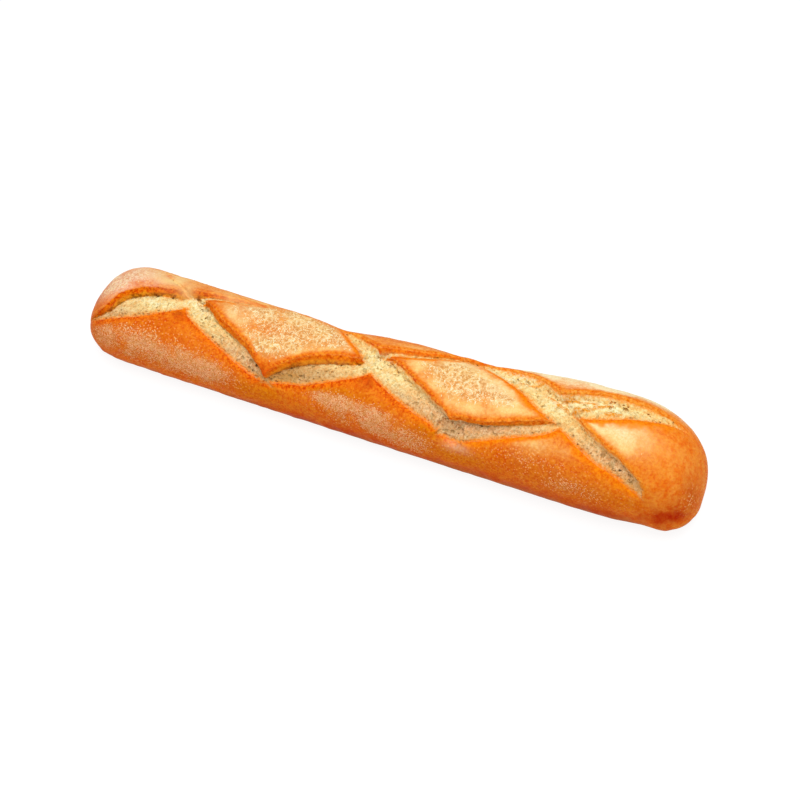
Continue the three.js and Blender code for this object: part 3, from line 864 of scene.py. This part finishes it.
# -------- materials
class Nodes:
    """The nodes of one material, each made by one short call.  A mask is named wherever a value goes."""

    def __init__(self, name):
        self.material = bpy.data.materials.new(name)
        self.material.use_nodes = True
        self.tree = self.material.node_tree
        self.shader = self.tree.nodes["Principled BSDF"]
        self.place = self.add("ShaderNodeTexCoord").outputs["Object"]

    def add(self, kind, inputs=None, **settings):
        node = self.tree.nodes.new(kind)
        for name, value in settings.items():
            setattr(node, name, value)
        for name, value in (inputs or {}).items():
            self.put(node.inputs[name], value)
        return node

    def put(self, socket, value):
        if isinstance(value, str):
            value = self.add("ShaderNodeAttribute", attribute_name=value).outputs["Fac"]
        if isinstance(value, bpy.types.NodeSocket):
            self.tree.links.new(value, socket)
        else:
            socket.default_value = value

    def noise(self, cell, detail=3, roughness=0.55, twist=0.0, place=None):
        """Noise from 0 to 1, its features about a cell wide, in mm."""
        inputs = {"Vector": place or self.place, "Scale": 1 / (cell * MM), "Detail": detail,
                  "Roughness": roughness, "Distortion": twist}
        return self.add("ShaderNodeTexNoise", inputs).outputs["Fac"]

    def cells(self, cell):
        inputs = {"Vector": self.place, "Scale": 1 / (cell * MM)}
        return self.add("ShaderNodeTexVoronoi", inputs).outputs["Distance"]

    def math(self, operation, *values):
        node = self.add("ShaderNodeMath", operation=operation)
        for socket, value in zip(node.inputs, values):
            self.put(socket, value)
        return node.outputs[0]

    def span(self, value, low, high, to_low=0.0, to_high=1.0):
        inputs = {"Value": value, "From Min": low, "From Max": high, "To Min": to_low, "To Max": to_high}
        return self.add("ShaderNodeMapRange", inputs).outputs["Result"]

    def ramp(self, share, at_none, at_full):
        return self.span(share, 0, 1, at_none, at_full)

    def spots(self, low, high, *kind):
        """Spots from 0 to 1 that begin where a kind of noise passes low and are full from high."""
        return self.span(self.noise(*kind), low, high)

    def mix(self, share, first, second, blend="MIX"):
        node = self.add("ShaderNodeMix", data_type="RGBA", blend_type=blend)
        for socket, value in zip((node.inputs[0], node.inputs[6], node.inputs[7]), (share, first, second)):
            self.put(socket, value)
        return node.outputs[2]

    def product(self, *values):
        total = values[0]
        for value in values[1:]:
            total = self.math("MULTIPLY", total, value)
        return total

    def layers(self, colour, *layers):
        """A colour with others laid over it in turn, each as far as the product of its shares says."""
        for over, *shares in layers:
            colour = self.mix(self.product(*shares), colour, over)
        return colour


def crust_colour(nodes):
    patches = nodes.spots(0.35, 0.65, 18, 4)
    blotches = nodes.spots(0.42, 0.6, 6, 4, 0.65)
    mottling = nodes.spots(0.4, 0.6, 2.0, 4, 0.7)
    grain = nodes.spots(0.42, 0.62, 1.3, 3, 0.6)
    colour = nodes.layers(
        nodes.mix(patches, CRUST, CRUST_LIGHT),
        # partly baked colour, partly painted shade on the sides
        (CRUST_SIDE_AND_SHADE, "side", 0.7),
        (CRUST_MARGIN, "margin", 0.4),
        (CRUST_RUDDY, blotches, nodes.ramp("mild", 0.6, 0.4)),
        # partly lighter bake, partly painted highlight on the tops
        (CRUST_GOLDEN_AND_HIGHLIGHT, "golden_and_highlight"),
        (CRUST_AMBER, "amber"),
        # partly baked orange, partly painted light on the right end
        (nodes.mix(blotches, END_AND_LIGHT, END_RUDDY), "end", 0.8),
        # partly lighter bake, partly painted highlight and sheen
        (CRUST_PALE_AND_HIGHLIGHT, "pale_and_highlight"),
        (nodes.mix("mild", nodes.mix(mottling, RIM, RIM_RUDDY), RIM_MILD), "near_rim", 0.98),
        (torn_lip(nodes), "ear_rim", 0.9),
    )
    clear = nodes.math("SUBTRACT", 1.0, nodes.math("MAXIMUM", "golden_and_highlight", "pale_and_highlight"))
    # less darkening on the right end: painted light
    darker = nodes.product(mottling, nodes.ramp(clear, 0.2, 0.75), nodes.ramp("end", 1.0, 0.7))
    colour = nodes.layers(
        nodes.mix(darker, colour, CRUST_DARKER, "MULTIPLY"),
        (CRUST_GRAIN, grain, 0.3),
        (CRUST_DEEP, nodes.span("deep", 0, 0.8), nodes.ramp(blotches, 0.8, 1.0)),
        (nodes.mix(blotches, BURNT, BURNT_DARK), "tip", 0.8),
    )
    return dusted(nodes, colour)


def dusted(nodes, colour):
    """The colour of the crust with the finest flour on it: a haze, and light dots with darker gaps."""
    flecks = nodes.noise(1.7, 3, 0.6, 0.6)
    dots = nodes.cells(1.9)
    thin = nodes.span("side", 0.0, 0.4, 0.5, 0.1)
    return nodes.layers(
        colour,
        (DUST_HAZE, "dust", nodes.span(flecks, 0.4, 0.6, 0.5, 1.0)),
        (SPECKLE_GAP, "speckle", nodes.span(dots, 0.3, 0.6, 0.0, 0.65)),
        (SPECKLE_DOT, "speckle", nodes.span(dots, 0.32, 0.14, 0.0, 0.85)),
        (FLOUR_GAP, "flour", "between", nodes.span(flecks, 0.6, 0.42, 0.3, 0.9)),
        (FLOUR_HAZE, "flour", nodes.span(flecks, 0.48, 0.64), thin),
        # partly baked colour, partly painted shade on the base
        (CRUST_BASE_AND_SHADE, "base"),
    )


def torn_lip(nodes):
    dark = nodes.mix("right", LIP_DARK, LIP_DARK_RIGHT)
    light = nodes.mix("right", LIP_LIGHT, LIP_LIGHT_RIGHT)
    return nodes.mix(nodes.spots(0.4, 0.6, 2.2, 3, 0.65), dark, light)


def crumb_colour(nodes):
    blotches = nodes.spots(0.46, 0.66, 4.5, 3)
    specks = nodes.spots(0.42, 0.6, 2.0, 4, 0.7)
    # Olive specks: painted shade of the pores, with more of them on the shaded lower side.
    olive_pore_shade = nodes.spots(0.55, 0.64, 1.5, 4, 0.7)
    drawn_out = nodes.add("ShaderNodeVectorMath", {0: nodes.place, 1: (1, 0.3, 0.3)}, operation="MULTIPLY")
    streaks = nodes.span(nodes.noise(1.1, 3, 0.6, place=drawn_out.outputs[0]), 0.5, 0.62)
    return nodes.layers(
        # painted shade: darker, greyer crumb and flecks towards the lower near side
        nodes.mix("low", CRUMB, CRUMB_LOW_SHADED),
        (nodes.mix("low", CRUMB_FLECK, CRUMB_FLECK_LOW_SHADED), specks, 0.75),
        (CRUMB_BLOTCH, blotches, 0.45),
        # partly own colour, partly painted light on the crumb
        (nodes.mix(specks, CRUMB_CREAM_AND_LIGHT, CRUMB_CREAM_FLECK_AND_LIGHT), "cream_and_light", 0.85),
        # painted shade of pores
        (CRUMB_OLIVE_PORE_SHADE, olive_pore_shade, nodes.ramp("low", 0.5, 0.75)),
        (CRUMB_STREAK, "low", streaks, 0.5),
        # painted shade near the feet of the walls
        (CRUMB_PAINTED_SHADE, "shade", 0.7),
        (CRUMB_FRINGE, "fringe", nodes.ramp(specks, 0.4, 0.95)),
        (CRUMB_LIP, "lip", nodes.ramp(specks, 0.5, 1.0)),
        (CRUMB_RIDGE, "ridge", nodes.ramp(specks, 0.35, 1.0)),
        # painted shade in the pores
        (CRUMB_PIT_SHADE, "pit_shade", 0.55),
    )


def wall_colour(nodes):
    """From the torn orange of a lip to the dark toasted wall under it."""
    upper = nodes.mix(nodes.spots(0.42, 0.58, 2.6, 4, 0.7), WALL_RUDDY, WALL_ORANGE)
    lower = nodes.mix(nodes.spots(0.39, 0.53, 4.5, 3, 0.6), WALL_DARK, WALL_GOLD)
    return nodes.mix("toast", torn_lip(nodes), nodes.mix("top", lower, upper))


def flour_material():
    nodes = Nodes("flour")
    colour = nodes.mix(nodes.spots(0.4, 0.6, 3), FLAKE, FLAKE_DULL)
    # painted shade on the flakes along the sides
    nodes.put(nodes.shader.inputs["Base Color"], nodes.layers(colour, (FLAKE_SIDE_SHADE, "side", 0.8)))
    nodes.shader.inputs["Roughness"].default_value = 1.0
    nodes.shader.inputs["Specular IOR Level"].default_value = 0.0
    return nodes.material


def loaf_material():
    nodes = Nodes("crust")
    colour = nodes.layers(
        nodes.mix("crumb", crust_colour(nodes), crumb_colour(nodes)),
        (wall_colour(nodes), "wall"),
        # painted shade in the creases at the feet of the walls
        (WALL_CREASE_SHADE, "crease_shade", "toast", nodes.spots(0.38, 0.58, 3, 3, 0.6)),
        (CRUST_SOFT, "soft"),
    )
    nodes.put(nodes.shader.inputs["Base Color"], colour)
    open_crumb = nodes.math("MAXIMUM", "crumb", "wall")
    dull = nodes.math("MAXIMUM", open_crumb, "flour")
    nodes.put(nodes.shader.inputs["Roughness"], nodes.ramp(dull, 0.46, 0.92))
    nodes.shader.inputs["Specular IOR Level"].default_value = 0.01
    wrinkles = nodes.product(nodes.noise(1.3, 3, 0.6), 0.6)
    pores = nodes.math("MULTIPLY_ADD", nodes.cells(1.0), 0.8, nodes.noise(0.6, 2))
    height = nodes.math("ADD", wrinkles, nodes.product(pores, open_crumb))
    bump = nodes.add("ShaderNodeBump", {"Strength": 0.7, "Distance": 0.35 * MM, "Height": height})
    nodes.put(nodes.shader.inputs["Normal"], bump.outputs["Normal"])
    return nodes.material


# -------- camera, floor and light
AZIMUTH, ELEVATION, ROLL = (math.radians(angle) for angle in (22.417, 52.0, -0.935))
DISTANCE = 0.850
TARGET = Vector((15.13, -4.39, 25.0)) * MM
LENS = 56.29
FLOOR_SIZE, FLOOR_LEVEL = 6, -0.2 * MM
FLOOR_GREY, FLOOR_GLOW, SKY_GLOW = 0.15, 0.9, 0.38
KEY_PLACE, KEY_SIZE, KEY_WATTS = (0.05, -0.1, 1.25), 1.0, 13.2
WHITE = (1, 1, 1, 1)


def add_camera():
    camera = bpy.data.objects.new("camera", bpy.data.cameras.new("camera"))
    bpy.context.collection.objects.link(camera)
    camera.data.lens = LENS
    camera.data.clip_start = 0.01
    back = Vector((
        math.sin(AZIMUTH) * math.cos(ELEVATION), -math.cos(AZIMUTH) * math.cos(ELEVATION), math.sin(ELEVATION)
    ))
    right = Vector((math.cos(AZIMUTH), math.sin(AZIMUTH), 0))
    up = back.cross(right)
    turned_right = right * math.cos(ROLL) + up * math.sin(ROLL)
    turned_up = back.cross(turned_right)
    camera.matrix_world = Matrix.Translation(TARGET + back * DISTANCE) @ Matrix(
        (turned_right, turned_up, back)).transposed().to_4x4()
    bpy.context.scene.camera = camera


def add_light(name, place, size, watts):
    light = bpy.data.objects.new(name, bpy.data.lights.new(name, "AREA"))
    bpy.context.collection.objects.link(light)
    light.data.size = size
    light.data.energy = watts
    light.location = place
    light.rotation_euler = (TARGET - Vector(place)).to_track_quat("-Z", "Y").to_euler()


def add_stage():
    bpy.ops.mesh.primitive_plane_add(size=FLOOR_SIZE, location=(0, 0, FLOOR_LEVEL))
    floor = bpy.context.object
    floor.name = "floor"
    material = bpy.data.materials.new("floor")
    material.use_nodes = True
    shader = material.node_tree.nodes["Principled BSDF"]
    shader.inputs["Base Color"].default_value = (FLOOR_GREY, FLOOR_GREY, FLOOR_GREY, 1)
    shader.inputs["Roughness"].default_value = 0.9
    shader.inputs["Emission Color"].default_value = WHITE
    shader.inputs["Emission Strength"].default_value = FLOOR_GLOW
    floor.data.materials.append(material)
    world = bpy.data.worlds.new("world")
    world.use_nodes = True
    world.node_tree.nodes["Background"].inputs["Color"].default_value = WHITE
    world.node_tree.nodes["Background"].inputs["Strength"].default_value = SKY_GLOW
    bpy.context.scene.world = world
    bpy.context.scene.view_settings.view_transform = "Standard"
    add_light("key", KEY_PLACE, KEY_SIZE, KEY_WATTS)


# -------- the scene
add_camera()
add_stage()
loaf = Loaf()
crust = mesh_piece("crust", loaf.points, (loaf.quads, loaf.fans))
for mask_name, shares in loaf_masks(loaf).items():
    add_mask(crust, mask_name, shares)
crust.data.materials.append(loaf_material())
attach(crust, "root")
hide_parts("loaf")

flake_points, flake_turns, *flake_faces = flour_flakes(loaf)
flour = mesh_piece("flour", flake_points, flake_faces)
# Painted shade: flakes on the sides of the loaf take a duller, pinker colour.
add_mask(flour, "side", smoothstep(36, 62, np.abs(flake_turns)))
flour.data.materials.append(flour_material())
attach(flour, "root")
